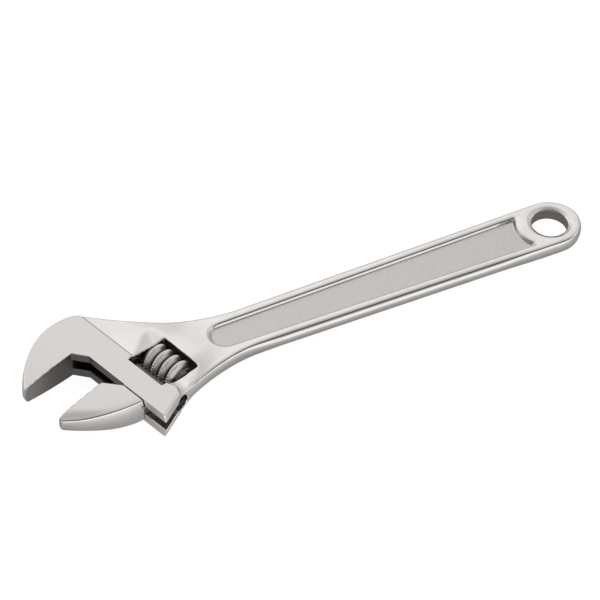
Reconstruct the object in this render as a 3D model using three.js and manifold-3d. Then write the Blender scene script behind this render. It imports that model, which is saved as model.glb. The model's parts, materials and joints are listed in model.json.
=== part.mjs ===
// Adjustable wrench, nominal 250 mm long with a 30 mm jaw capacity.
//
// World frame: +Z up, handle along +X, fixed jaw towards +Y, the wrench lying flat.
// While the pieces are built, the origin is the centre of the hanging eye, halfway through
// the thickness. The finished group is then moved so that its origin is the middle of the
// bottom of its bounding box.
//
// Head frame: the fixed jaw's throat corner is its origin. Its +X is the direction in which
// the movable jaw opens, and its +Y points back from the jaws towards the handle.

import * as THREE from 'three';
import { mergeVertices } from 'three/addons/utils/BufferGeometryUtils.js';
import Module from 'manifold-3d';

const wasm = await Module();
wasm.setup();

// ---- Driving dimensions, in millimetres and degrees ----

const HEAD_ANGLE = -70.5;               // direction of jaw travel, measured from the handle
const THROAT = new THREE.Vector2(-213.7, 14.3);
const HEAD_HALF = 6.5;                  // half thickness of the ground head faces
const NECK_HALF = 6.1;                  // half thickness of the forged neck beside the worm
const RIM_HALF = 3.5;                   // half thickness of the handle's rims
const GAP = 0.3;                        // clearance between neighbouring pieces

const JAW_DEPTH = 24;                   // throat to jaw tips
// Half thickness of each jaw at its throat and its tip, and how far its side bows out.
const FIXED_JAW = { root: HEAD_HALF, tip: 3.8, bow: 0.5 };
const MOVING_JAW = { root: 6.2, tip: 4, bow: 0.1 };
const REST_OPENING = 19.4;
const FIXED_FACET = 6.1;                // the throat's chamfer runs this far along the slide face
const FIXED_TIP = { width: 1.3, reach: 0.4 };
const MOVING_THROAT = -1.6;             // top of the movable gripping face
const MOVING_FACET = 7.2;
const MOVING_TIP = { width: 2.3, reach: 0.3 };
const MOVING_WIDTH = 19.1;              // along the slide face
const MOVING_WAIST = new THREE.Vector2(16.6, -11);

const SLIDE_FACE = 3.9;                 // the movable jaw slides on this line of the head
const BAND_EDGE = 16.4;                 // rear edge of the ground face
const EAR_END = 49.4;                   // end of the slideway at the slide face

const RACK_LINE = 17.1;                 // centre line of the round rack and its bore
const RACK_RADIUS = 3.2;
const RACK_BORE_RADIUS = 3.5;
const RACK_START = 0.5;                 // from the movable gripping face
const RACK_END = 24.6;
const WEB_HALF = 2.1;                   // half thickness of the tongue behind the jaw
const TONGUE_END = 18.9;
const TONGUE_SINK = 1;                  // how far the tongue reaches into the jaw

const WORM_LINE = 25;
const WORM_RADIUS = 7.3;
const WORM_ROOT = 4.4;
const WORM_PITCH = 4.2;
const WORM_START = 19.1;
const WORM_END = 36.5;
const CREST_PHASE = 21.7;               // a crest passes over the top of the worm here
const HUB_RADIUS = 4.3;
const HUB_END = 37.9;
const WINDOW = { start: 18.6, end: 38.25, near: 14.05, far: 32.65 };

// Finger reliefs in the neck: a round hollow at the window's near end, a trough at its far end.
const HOLLOW = { radius: 19, depth: 1.1, along: 20, back: 25.5 };
const TROUGH = { radius: 21, depth: 1.3, along: 44, back: 24, length: 14 };

const PIN_RADIUS = 2;
const PIN_START = -1.6;
const PIN_END = 40.7;
const COUNTERBORE_RADIUS = 3.7;
const COUNTERBORE_END = 27;
const SPRING = { wire: 0.8, radius: 2.9, turns: 5 };

const TAIL_CENTRE = 2.2;
const TAIL_RADIUS = 12;
const NECK_END = -142;                  // where the handle's straight sides begin
const NECK_HALF_WIDTH = 9.95;
const EYE_RADIUS = 7.8;
const COUNTERSINK_RADIUS = 9.6;
const COUNTERSINK_DEPTH = 0.7;

const PANEL_DEPTH = 1.6;
const PANEL_DRAFT = 1;
const PANEL_START = -153.3;             // centre of the panel's round end
const PANEL_START_RADIUS = 6.95;
const PANEL_END_RADIUS = 14.2;          // the far end follows the eye
const PANEL_END_HALF_WIDTH = 9.1;

const OUTSIDE = 60;                     // longer than any cut has to reach

// ---- Joining and cutting ----

function toSolid(geometry) {
  const bare = geometry.index ? geometry.toNonIndexed() : geometry.clone();
  bare.deleteAttribute('normal');
  bare.deleteAttribute('uv');
  const merged = mergeVertices(bare, 1e-4);
  const mesh = new wasm.Mesh({
    numProp: 3,
    vertProperties: new Float32Array(merged.attributes.position.array),
    triVerts: new Uint32Array(merged.index.array),
  });
  mesh.merge();
  return new wasm.Manifold(mesh);
}

function toGeometry(solid) {
  const mesh = solid.getMesh();
  const geometry = new THREE.BufferGeometry();
  geometry.setAttribute('position', new THREE.BufferAttribute(mesh.vertProperties, 3));
  geometry.setIndex(new THREE.BufferAttribute(mesh.triVerts, 1));
  geometry.computeVertexNormals();
  return geometry;
}

// ---- Shared shapes ----

const headTurn = THREE.MathUtils.degToRad(HEAD_ANGLE);

function headPoint(along, back) {
  return new THREE.Vector2(along, back).rotateAround(new THREE.Vector2(), headTurn).add(THROAT);
}

function placeInHead(geometry) {
  return geometry.rotateZ(headTurn).translate(THROAT.x, THROAT.y, 0);
}

function extrudeCentred(shape, halfDepth, curveSegments = 12) {
  const options = { depth: 2 * halfDepth, bevelEnabled: false, curveSegments };
  return new THREE.ExtrudeGeometry(shape, options).translate(0, 0, -halfDepth);
}

function boxBetween(x0, x1, y0, y1, z0, z1) {
  const box = new THREE.BoxGeometry(x1 - x0, y1 - y0, z1 - z0);
  return box.translate((x0 + x1) / 2, (y0 + y1) / 2, (z0 + z1) / 2);
}

// A cylinder along the head frame's X axis, at a distance back from the throat.
function rodAlong(radius, start, end, back, sides = 32) {
  const rod = new THREE.CylinderGeometry(radius, radius, end - start, sides);
  return rod.rotateZ(-Math.PI / 2).translate((start + end) / 2, back, 0);
}

// The side view of a jaw, swept along the direction of travel: full thickness behind the
// throat, thinning towards the tip.
function jawThickness(jaw, back) {
  const steps = 8;
  const past = 1.15;
  const side = [];
  for (let i = 0; i <= steps; i++) {
    const t = (past * i) / steps;
    const half = jaw.root - (jaw.root - jaw.tip) * t + 4 * jaw.bow * t * (1 - t);
    side.push(new THREE.Vector2(-JAW_DEPTH * t, half));
  }
  const upper = [new THREE.Vector2(back, jaw.root), ...side];
  const lower = upper.map((point) => new THREE.Vector2(point.x, -point.y)).reverse();
  const profile = extrudeCentred(new THREE.Shape([...upper, ...lower]), OUTSIDE);
  // The profile is drawn as (back, height) and swept along the third axis.
  profile.applyMatrix4(new THREE.Matrix4().set(0, 0, 1, 0, 1, 0, 0, 0, 0, 1, 0, 0, 0, 0, 0, 1));
  return profile;
}

// ---- Body: fixed jaw, slideway, neck, handle and eye in one forging ----

const jawBack = new THREE.CubicBezierCurve(
  headPoint(-FIXED_TIP.width, -JAW_DEPTH - FIXED_TIP.reach),
  new THREE.Vector2(-232.3, 23.7),
  new THREE.Vector2(-219, 35.8),
  new THREE.Vector2(-203.2, 33.6),
);

const upperNeck = new THREE.CubicBezierCurve(
  jawBack.v3,
  new THREE.Vector2(-186.2, 20.2),
  new THREE.Vector2(-164, 9.65),
  new THREE.Vector2(NECK_END, NECK_HALF_WIDTH),
);

const lowerNeck = new THREE.CubicBezierCurve(
  new THREE.Vector2(NECK_END, -NECK_HALF_WIDTH),
  new THREE.Vector2(-158, -9.73),
  new THREE.Vector2(-170.8, -16.6),
  new THREE.Vector2(-183, -23.4),
);

function curveTo(outline, curve) {
  outline.lineTo(curve.v0.x, curve.v0.y);
  outline.bezierCurveTo(curve.v1.x, curve.v1.y, curve.v2.x, curve.v2.y, curve.v3.x, curve.v3.y);
}

function bodyOutline() {
  const tip = headPoint(0, -JAW_DEPTH);
  const facetEnd = headPoint(FIXED_FACET, SLIDE_FACE);
  const earCorner = headPoint(EAR_END, SLIDE_FACE);
  const outline = new THREE.Shape();
  outline.moveTo(THROAT.x, THROAT.y);
  outline.lineTo(tip.x, tip.y);
  curveTo(outline, jawBack);
  curveTo(outline, upperNeck);
  outline.absarc(TAIL_CENTRE, 0, TAIL_RADIUS, Math.PI / 2, -Math.PI / 2, true);
  curveTo(outline, lowerNeck);
  outline.lineTo(earCorner.x, earCorner.y);
  outline.lineTo(facetEnd.x, facetEnd.y);
  outline.closePath();
  return outline;
}

// Half thickness of the neck: highest along its middle, falling towards the handle and
// towards both edges, which are down at the rim height except close to the head.
const neckEdges = [...upperNeck.getPoints(40), ...lowerNeck.getPoints(40)];

function neckHalf(x, y) {
  const shoulder = 9;
  const flatEdge = 1.5;
  const here = new THREE.Vector2(x, y);
  const edgeDistance = Math.min(...neckEdges.map((point) => point.distanceTo(here)));
  const inward = THREE.MathUtils.clamp((edgeDistance - flatEdge) / shoulder, 0, 1);
  const across = Math.sin((inward * Math.PI) / 2);
  const [full, low] = y > 0 ? [-201, -177] : [-184, -175];
  const edgeRise = 1 - THREE.MathUtils.smoothstep(x, full, low);
  const along = 1 - THREE.MathUtils.smoothstep(x, -181, -156);
  return RIM_HALF + (NECK_HALF - RIM_HALF) * along * Math.max(across, edgeRise);
}

function neckBlank() {
  const x = { from: -214, to: -152, cells: 26 };
  const y = { from: -34, to: 38, cells: 28 };
  const blank = new THREE.BoxGeometry(x.to - x.from, y.to - y.from, 2, x.cells, y.cells, 1);
  blank.translate((x.from + x.to) / 2, (y.from + y.to) / 2, 0);
  const position = blank.attributes.position;
  for (let i = 0; i < position.count; i++) {
    const half = neckHalf(position.getX(i), position.getY(i));
    position.setZ(i, Math.sign(position.getZ(i)) * half);
  }
  return blank;
}

// The panel's floor: the outline at the rim, drawn in by the draft of its sides.
function panelFloor() {
  const startRadius = PANEL_START_RADIUS - PANEL_DRAFT;
  const endRadius = PANEL_END_RADIUS + PANEL_DRAFT;
  const endAngle = Math.asin((PANEL_END_HALF_WIDTH - PANEL_DRAFT) / endRadius);
  const shape = new THREE.Shape();
  shape.absarc(PANEL_START, 0, startRadius, Math.PI / 2, -Math.PI / 2, false);
  shape.absarc(0, 0, endRadius, Math.PI + endAngle, Math.PI - endAngle, true);
  shape.closePath();
  return shape;
}

// The recessed panel's cutter: its small end is the panel floor, and its sides slope out.
function panelCutter() {
  const options = {
    depth: OUTSIDE,
    bevelEnabled: true,
    bevelThickness: PANEL_DEPTH,
    bevelSize: PANEL_DRAFT,
    bevelSegments: 2,
    curveSegments: 12,
  };
  return new THREE.ExtrudeGeometry(panelFloor(), options).translate(0, 0, RIM_HALF);
}

function countersinkCutter() {
  const reach = 4;
  const slope = (COUNTERSINK_RADIUS - EYE_RADIUS) / COUNTERSINK_DEPTH;
  const profile = [
    new THREE.Vector2(0, -COUNTERSINK_DEPTH),
    new THREE.Vector2(EYE_RADIUS, -COUNTERSINK_DEPTH),
    new THREE.Vector2(EYE_RADIUS + (reach + COUNTERSINK_DEPTH) * slope, reach),
    new THREE.Vector2(0, reach),
  ];
  return new THREE.LatheGeometry(profile, 40).rotateX(Math.PI / 2).translate(0, 0, RIM_HALF);
}

// The cutters of the finger reliefs on one side of the neck: side is 1 above and -1 below.
function reliefCutters(side) {
  const hollow = new THREE.SphereGeometry(HOLLOW.radius, 48, 32);
  hollow.translate(HOLLOW.along, HOLLOW.back, side * (NECK_HALF - HOLLOW.depth + HOLLOW.radius));
  const trough = new THREE.CylinderGeometry(TROUGH.radius, TROUGH.radius, TROUGH.length, 72);
  trough.rotateZ(-Math.PI / 2);
  trough.translate(TROUGH.along, TROUGH.back, side * (NECK_HALF - TROUGH.depth + TROUGH.radius));
  return [hollow, trough];
}

function wrenchBody() {
  const plan = toSolid(extrudeCentred(bodyOutline(), OUTSIDE, 32));
  const head = toSolid(placeInHead(jawThickness(FIXED_JAW, BAND_EDGE)));
  const neck = toSolid(neckBlank());
  const handle = toSolid(boxBetween(-160, 20, -20, 20, -RIM_HALF, RIM_HALF));
  let body = plan.intersect(head.add(neck).add(handle));

  const slotHalf = WEB_HALF + GAP;
  const slotStart = RACK_START - GAP;
  const headCuts = [
    boxBetween(WINDOW.start, WINDOW.end, WINDOW.near, WINDOW.far, -OUTSIDE, OUTSIDE),
    rodAlong(RACK_BORE_RADIUS, slotStart, OUTSIDE, RACK_LINE, 40),
    boxBetween(slotStart, OUTSIDE, SLIDE_FACE - JAW_DEPTH / 4, RACK_LINE, -slotHalf, slotHalf),
    rodAlong(PIN_RADIUS + GAP, -OUTSIDE, PIN_END + GAP, WORM_LINE),
    ...reliefCutters(1),
    ...reliefCutters(-1),
  ];
  for (const cut of headCuts) {
    body = body.subtract(toSolid(placeInHead(cut)));
  }

  const eye = new THREE.CylinderGeometry(EYE_RADIUS, EYE_RADIUS, OUTSIDE, 40);
  body = body.subtract(toSolid(eye.rotateX(Math.PI / 2)));
  for (const cutter of [panelCutter(), countersinkCutter()]) {
    body = body.subtract(toSolid(cutter));
    body = body.subtract(toSolid(cutter.clone().rotateX(Math.PI)));
  }
  return toGeometry(body);
}

// ---- Worm ----

// Height of the thread, 0 at the root and 1 at the crest, for a place along one pitch.
function threadHeight(turn) {
  const fromCrest = Math.abs(turn - Math.round(turn));
  const crestHalfWidth = 0.17;
  const rootStart = 0.37;
  return 1 - THREE.MathUtils.smoothstep(fromCrest, crestHalfWidth, rootStart);
}

// A right-hand thread: a cylinder whose surface rises and falls along a helix.
function threadedRod(start, end, grow) {
  const rowsPerPitch = 10;
  const sides = 40;
  const rows = Math.round(((end - start) / WORM_PITCH) * rowsPerPitch);
  const rod = new THREE.CylinderGeometry(1, 1, end - start, sides, rows);
  rod.rotateZ(-Math.PI / 2).translate((start + end) / 2, 0, 0);
  const position = rod.attributes.position;
  for (let i = 0; i < position.count; i++) {
    const reach = Math.hypot(position.getY(i), position.getZ(i));
    if (reach < 0.5) continue;
    const turned = Math.atan2(position.getZ(i), position.getY(i)) - Math.PI / 2;
    const turn = (position.getX(i) - CREST_PHASE) / WORM_PITCH - turned / (2 * Math.PI);
    const widest = Math.max(threadHeight(turn), threadHeight(turn - grow / WORM_PITCH),
      threadHeight(turn + grow / WORM_PITCH));
    const radius = WORM_ROOT + grow + (WORM_RADIUS - WORM_ROOT) * widest;
    position.setY(i, (position.getY(i) * radius) / reach);
    position.setZ(i, (position.getZ(i) * radius) / reach);
  }
  return rod.translate(0, WORM_LINE, 0);
}

function wormKnurl() {
  const hub = toSolid(rodAlong(HUB_RADIUS, WORM_END - 1, HUB_END, WORM_LINE, 40));
  const hole = toSolid(rodAlong(PIN_RADIUS + GAP, 0, OUTSIDE, WORM_LINE));
  const counterbore = toSolid(rodAlong(COUNTERBORE_RADIUS, 0, COUNTERBORE_END, WORM_LINE));
  const worm = toSolid(threadedRod(WORM_START, WORM_END, 0));
  return toGeometry(worm.add(hub).subtract(hole).subtract(counterbore));
}

// ---- Movable jaw, with its tongue and round rack ----

function jawOutline() {
  const shoulder = SLIDE_FACE - GAP;
  const outline = new THREE.Shape();
  outline.moveTo(0, MOVING_THROAT);
  outline.lineTo(0, -JAW_DEPTH);
  outline.lineTo(MOVING_TIP.width, -JAW_DEPTH - MOVING_TIP.reach);
  outline.quadraticCurveTo(MOVING_WAIST.x, MOVING_WAIST.y, MOVING_WIDTH, shoulder);
  outline.lineTo(MOVING_FACET, shoulder);
  outline.closePath();
  return outline;
}

function tongueOutline() {
  const shoulder = SLIDE_FACE - GAP;
  return new THREE.Shape([
    new THREE.Vector2(RACK_START, RACK_LINE),
    new THREE.Vector2(RACK_START, shoulder - TONGUE_SINK),
    new THREE.Vector2(TONGUE_END, shoulder - TONGUE_SINK),
    new THREE.Vector2(TONGUE_END, shoulder),
    new THREE.Vector2(RACK_END, RACK_LINE),
  ]);
}

function movableJaw() {
  const plan = toSolid(extrudeCentred(jawOutline(), OUTSIDE, 20));
  const thickness = toSolid(jawThickness(MOVING_JAW, RACK_LINE));
  const tongue = toSolid(extrudeCentred(tongueOutline(), WEB_HALF));
  const rack = toSolid(rodAlong(RACK_RADIUS, RACK_START, RACK_END, RACK_LINE, 40));
  const jaw = plan.intersect(thickness).add(tongue).add(rack).translate([REST_OPENING, 0, 0]);
  const teeth = toSolid(threadedRod(REST_OPENING - 4, REST_OPENING + RACK_END + 4, GAP));
  return toGeometry(jaw.subtract(teeth));
}

// ---- Pin and spring ----

function wormPin() {
  return rodAlong(PIN_RADIUS, PIN_START, PIN_END, WORM_LINE);
}

class SpringCurve extends THREE.Curve {
  getPoint(t, target = new THREE.Vector3()) {
    const start = WINDOW.start + GAP + SPRING.wire / 2;
    const end = COUNTERBORE_END - GAP - SPRING.wire / 2;
    const angle = 2 * Math.PI * SPRING.turns * t;
    return target.set(start + (end - start) * t, SPRING.radius * Math.cos(angle),
      SPRING.radius * Math.sin(angle));
  }
}

function wormSpring() {
  const wire = new THREE.Shape().absarc(0, 0, SPRING.wire / 2, 0, 2 * Math.PI);
  const options = {
    steps: SPRING.turns * 14,
    curveSegments: 4,
    bevelEnabled: false,
    extrudePath: new SpringCurve(),
  };
  return new THREE.ExtrudeGeometry(wire, options).translate(0, WORM_LINE, 0);
}

// ---- Assembly ----

function piece(name, geometry, color, roughness) {
  const material = new THREE.MeshStandardMaterial({ color, roughness, metalness: 1 });
  const mesh = new THREE.Mesh(geometry, material);
  mesh.name = name;
  return mesh;
}

const head = new THREE.Group();
head.position.set(THROAT.x, THROAT.y, 0);
head.rotation.z = headTurn;
head.add(piece('movable_jaw', movableJaw(), 0xcfccca, 0.38));
head.add(piece('worm_knurl', wormKnurl(), 0xb5b1ad, 0.35));
head.add(piece('worm_pin', wormPin(), 0x9c9894, 0.3));
head.add(piece('worm_spring', wormSpring(), 0x8c8884, 0.35));

const wrench = new THREE.Group();
wrench.add(piece('wrench_body', wrenchBody(), 0xd6d2cf, 0.42));
wrench.add(head);
wrench.updateMatrixWorld(true);

const bounds = new THREE.Box3().setFromObject(wrench, true);
const middle = bounds.getCenter(new THREE.Vector3());
wrench.position.set(-middle.x, -middle.y, -bounds.min.z);

export default wrench;
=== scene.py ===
import json
import math

import bpy
import numpy as np
from mathutils import Matrix, Vector


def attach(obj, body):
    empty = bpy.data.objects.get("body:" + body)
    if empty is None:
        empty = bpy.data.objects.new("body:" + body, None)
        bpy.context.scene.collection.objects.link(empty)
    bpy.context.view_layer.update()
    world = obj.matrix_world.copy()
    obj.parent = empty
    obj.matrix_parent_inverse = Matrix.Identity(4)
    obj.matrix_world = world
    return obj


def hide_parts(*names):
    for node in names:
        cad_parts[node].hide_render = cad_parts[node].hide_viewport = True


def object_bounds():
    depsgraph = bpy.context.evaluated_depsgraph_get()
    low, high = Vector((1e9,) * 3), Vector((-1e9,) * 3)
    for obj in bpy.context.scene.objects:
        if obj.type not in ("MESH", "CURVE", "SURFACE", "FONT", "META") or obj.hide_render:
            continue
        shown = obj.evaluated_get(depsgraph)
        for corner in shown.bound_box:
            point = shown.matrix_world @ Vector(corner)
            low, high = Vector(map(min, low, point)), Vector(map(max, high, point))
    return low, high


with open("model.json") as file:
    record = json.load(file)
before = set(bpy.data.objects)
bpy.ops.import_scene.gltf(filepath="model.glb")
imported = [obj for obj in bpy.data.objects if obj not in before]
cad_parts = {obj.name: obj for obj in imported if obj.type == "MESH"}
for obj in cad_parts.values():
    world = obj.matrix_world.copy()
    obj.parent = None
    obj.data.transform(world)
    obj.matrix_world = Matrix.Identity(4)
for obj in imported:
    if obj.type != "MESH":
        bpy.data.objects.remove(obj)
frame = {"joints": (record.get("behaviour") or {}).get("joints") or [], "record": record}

# An adjustable wrench. Shapes are worked out in millimetres in the wrench's own plan: the
# origin is the middle of the hanging eye, x runs along the handle away from the head, y
# towards the fixed jaw, and z is counted from the middle of the thickness. In the head,
# "along" is counted from the fixed gripping face in the direction the jaw opens, and "back"
# from the throat towards the handle.

MM = 0.001
cad_low, cad_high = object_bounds()

record = frame["record"]
mounts = {mount["name"]: mount for mount in record["mounts"]}
joints = {joint["name"]: joint for joint in frame["joints"]}

# ---- Driving dimensions, in millimetres ----

MOUNT_BACK = -14  # the gripping face's mount, from the throat

OPEN = np.array(joints["jaw_slide"]["axis"][:2])  # direction the jaw opens
BACK = np.array([-OPEN[1], OPEN[0]])  # from the throat to the handle
fixed_mount = np.array(mounts["fixed_jaw_face"]["pos_m"]) / MM
movable_mount = np.array(mounts["movable_jaw_face"]["pos_m"]) / MM
worm_mount = np.array(joints["worm_spin"]["pos_m"]) / MM
throat_in_row = fixed_mount[:2] - MOUNT_BACK * BACK
THROAT = np.array([-213.7, 14.3])  # from the middle of the hanging eye
EYE = throat_in_row - THROAT
MIDDLE = fixed_mount[2]
REST_OPENING = float((movable_mount - fixed_mount)[:2] @ OPEN)
WORM_LINE = float((worm_mount[:2] - throat_in_row) @ BACK)
GAP = 0.3  # running clearance
EDGE = 0.25  # radius of a ground or milled edge

# The forging.
HEAD_HALF = 6.5  # half thicknesses
NECK_HALF = 6.1
RIM_HALF = 3.5
TAIL_CENTRE = 2
TAIL_RADIUS = 12
NECK_END = -142  # where the handle's straight sides begin
NECK_HALF_WIDTH = 9.95
NECK_LIFT = 0.32  # the handle's middle line rises a little to the neck
HEAD_TOP = np.array([-203.2, 33.6])  # where the head's back meets the neck's far side
HEAD_TOP_ROUND = 2.0
EAR_END = 50.3  # end of the slideway at the slide face
EAR_FOOT = (-183, -23.4)  # where the ear's end meets the neck's near side

# Its sides bulge at mid thickness and roll back from there to the faces.
HEAD_BULGE = 0.47
HANDLE_BULGE = 1.36
FAR_BULGE = 0.35  # more on the handle's far side
SIDE_ROLL = 1.05
HANDLE_ROLL = 0.65  # more along the handle
EYE_ROLL = 0.15  # less round the eye
HEAD_ROUNDING = 0.45  # radius between sides and faces
NECK_ROUNDING = 0.3  # more from the neck on

# Stretches in x over which the section changes, and one in y.
ROUNDING_GROWS = (-192, -166)
FAR_EDGE_FALLS = (-196, -160)
NEAR_EDGE_FALLS = (-184, -175)
NECK_FALLS = (-183, -152)
NECK_TO_HANDLE = (-178, -155)
HANDLE_BEGINS = (-152, -130)
HANDLE_FADES = (-32, -10)
HANDLE_TO_EYE = (-2, 12)
NEAR_TO_FAR = (-5, 5)

# The jaws. An outward direction is given as (along, back).
JAW_DEPTH = 24
SLIDE_FACE = 3.9
FIXED_FACET = 6.1  # along, where the throat's facet meets the slide face
FIXED_TIP_HALF = 3.8
FIXED_BOW = 0.5  # how far a jaw's face bows out between root and tip
FIXED_TIP_OUTWARD = (0.294, -0.956)
MOVING_FACET = 7.2  # along, where its own facet meets the shoulder
MOVING_FACET_BACK = -1.6  # where it leaves the gripping face
MOVING_ROOT_HALF = 6.2
MOVING_TIP_HALF = 4
MOVING_BOW = 0.1
MOVING_ROLL = 1.15
MOVING_BULGE = 0.2
MOVING_TIP_OUTWARD = (-0.13, -0.99)
TIP_ROLL = 0.6
TIP_EDGE = 0.3
SHOULDER = SLIDE_FACE - GAP  # the movable jaw's face on the slideway

# The ground band of the head, and the finger reliefs behind it.
BAND_EDGE = 16.4
BAND_STEP = 0.35
BAND_REACH = 1.2  # it reaches further round below the window
BAND_REACH_ALONG = 41.6
BAND_REACH_WIDTH = 2.3
RELIEF_START = 0.3  # behind the band
SCOOP_BORDER = (18.6, 15.3)  # a point on the line where it starts
SCOOP_DEEPENS = (0.885, 0.466)  # the direction in which it gets deeper
SCOOP_DEPTH = 2.2
SCOOP_CURVE = 0.14  # how soon it gets near that depth, per millimetre
SCOOP_FADES = (27, 36)
SCOOP_END = 22
TROUGH_LINE = 23.5
TROUGH_SPREAD = 0.6  # distances from the line to the handle count by this
TROUGH_DEPTH = 2.4
TROUGH_RADIUS = 13
TROUGH_START = 37

# Rack, window, worm and pin.
RACK_LINE = 17.1  # middle line of the round rack and its bore
RACK_RADIUS = 3.2
RACK_BORE_RADIUS = 3.5
RACK_START = 0.5
RACK_END = 24.6
RACK_ROUND = 0.4
WEB_HALF = 2.1
TONGUE_END = 18.9
TONGUE_SINK = 1  # how far the tongue reaches into the jaw
SLOT_START = 0.2
WINDOW = {"start": 18.6, "end": 38.25, "near": 14.05, "far": 32.65}
WINDOW_LEAN = 0.07  # slant of the window's two end walls
WINDOW_CORNER = 0.7
WORM_RADIUS = 7.3
WORM_ROOT = 4.4
WORM_PITCH = 4.2
WORM_START = 19.1
WORM_END = 36.5
CREST_PHASE = 21.7  # a crest passes over the top of the worm here
THREAD_START = 20.1
RACK_CREST = (0.19, 0.41)  # the worm's crest in the rack, in turns from its middle
HUB_RADIUS = 4.3
HUB_END = 37.9
PIN_RADIUS = 2
PIN_START = -1.6
PIN_END = 40.7
COUNTERBORE_RADIUS = 3.7
COUNTERBORE_END = 27

# Eye and panel.
EYE_RADIUS = 7.8
COUNTERSINK_RADIUS = 9.6
COUNTERSINK_DEPTH = 1.0
PANEL_DEPTH = 1.85
PANEL_DRAFT = 0.55
PANEL_FILLET = 0.25
PANEL_EDGE = 0.7
PANEL_CORNER = 1.8
PANEL_START = -152.7  # centre of the panel's round end
PANEL_START_RADIUS = 6.6
PANEL_TAPER = 0.0185
PANEL_END_RADIUS = 14.2  # the far end follows the eye
PANEL_END_SLOPE = 0.8

GRID = 0.48  # spacing of the fine meshes


def smoothstep(low, high, x):
    """0 up to low and 1 from high on, or the other way round where low is the larger."""
    t = np.clip((x - low) / (high - low), 0, 1)
    return t * t * (3 - 2 * t)


# ---- Camera ----


def make_camera():
    """The viewpoint: above the handle's near side, towards the head, a long lens."""
    from_eye = (-115.37, 7.18)  # the point looked at, from the middle of the eye
    distance = 0.9
    elevation = math.radians(46.507)
    azimuth = math.radians(-27.673)
    roll = math.radians(1.758)
    target = Vector((EYE[0] + from_eye[0], EYE[1] + from_eye[1], MIDDLE)) * MM
    back = Vector((math.sin(azimuth) * math.cos(elevation),
                   -math.cos(azimuth) * math.cos(elevation), math.sin(elevation)))
    level = (-back).cross(Vector((0, 0, 1))).normalized()
    up = level.cross(-back)
    right = math.cos(roll) * level + math.sin(roll) * up
    true_up = -math.sin(roll) * level + math.cos(roll) * up
    data = bpy.data.cameras.new("camera")
    data.lens = 130.81
    data.sensor_width = 36
    camera = bpy.data.objects.new("camera", data)
    turn = Matrix((right, true_up, back)).transposed().to_4x4()
    camera.matrix_world = Matrix.Translation(target + back * distance) @ turn
    bpy.context.scene.collection.objects.link(camera)
    bpy.context.scene.camera = camera


make_camera()

# ---- Solid fields: negative inside, positive outside, in millimetres ----


def round_max(a, b, radius):
    """What is inside both, with an outer edge of this radius."""
    corner = np.hypot(np.maximum(a + radius, 0), np.maximum(b + radius, 0))
    return np.minimum(np.maximum(a, b), -radius) + corner


def cut_away(solid, cutter, radius):
    return round_max(solid, -cutter, radius)


def bezier(points, count=64):
    t = np.linspace(0, 1, count)[:, None]
    p = np.array(points, float)
    return ((1 - t) ** 3 * p[0] + 3 * t * (1 - t) ** 2 * p[1] + 3 * t * t * (1 - t) * p[2]
            + t ** 3 * p[3])


def bezier_two(points, count=48):
    t = np.linspace(0, 1, count)[:, None]
    p = np.array(points, float)
    return (1 - t) ** 2 * p[0] + 2 * t * (1 - t) * p[1] + t * t * p[2]


def in_head(x, y):
    """Plan coordinates in the head: along the jaw's travel, and back from the throat."""
    dx = x - THROAT[0]
    dy = y - THROAT[1]
    return dx * OPEN[0] + dy * OPEN[1], dx * BACK[0] + dy * BACK[1]


def head_point(along, back):
    return THROAT + along * OPEN + back * BACK


def half_plane(x, y, start, end):
    """Distance to the right of the line from start to end."""
    direction = np.array(end, float) - start
    direction /= np.hypot(*direction)
    return (x - start[0]) * direction[1] - (y - start[1]) * direction[0]


class Side:
    """One long side of the plan, as a height over x, run on straight at both ends."""

    def __init__(self, points):
        points = np.array(points)
        run = 60
        first = points[0] - (points[1] - points[0]) / (points[1, 0] - points[0, 0]) * run
        last = points[-1] + (points[-1] - points[-2]) / (points[-1, 0] - points[-2, 0]) * run
        self.x = np.concatenate([[first[0]], points[:, 0], [last[0]]])
        self.y = np.concatenate([[first[1]], points[:, 1], [last[1]]])
        self.slope = np.gradient(self.y, self.x)

    def beyond(self, x, y):
        flat_x = np.ravel(x)
        rise = np.interp(flat_x, self.x, self.y).reshape(np.shape(x))
        slope = np.interp(flat_x, self.x, self.slope).reshape(np.shape(x))
        return (y - rise) / np.sqrt(1 + slope ** 2)


class Round:
    """A side that runs round a middle point, as a radius over the angle."""

    def __init__(self, middle, points, last):
        self.middle = np.array(middle)
        self.last = last
        arms = np.array(points) - self.middle
        angle = np.arctan2(arms[:, 1], arms[:, 0])
        order = np.argsort(angle)
        self.angle = angle[order]
        self.radius = np.hypot(*arms.T)[order]
        change = np.gradient(self.radius, self.angle)
        self.lean = 1 / np.sqrt(1 + (change / self.radius) ** 2)

    def beyond(self, x, y):
        dx = x - self.middle[0]
        dy = y - self.middle[1]
        angle = np.arctan2(dy, dx)
        angle = np.where(angle < -math.pi / 2, math.pi, angle)
        flat = np.ravel(angle)
        radius = np.interp(flat, self.angle, self.radius).reshape(np.shape(angle))
        lean = np.interp(flat, self.angle, self.lean).reshape(np.shape(angle))
        distance = (np.hypot(dx, dy) - radius) * lean
        return np.where(angle < self.last, -self.radius[0], distance)


# The back of the fixed jaw, from its tip to the neck, run on past the top of the head.
back_points = bezier([head_point(-1.3, -JAW_DEPTH - 0.4), (-232.3, 23.7), (-219, 35.8), HEAD_TOP])
run_lengths = np.linspace(1, 30, 12)[:, None]
back_run = back_points[-1] + run_lengths * np.array([0.99, -0.138])
jaw_back = Round((-208, 6), np.concatenate([back_points, back_run]), math.radians(50))

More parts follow.
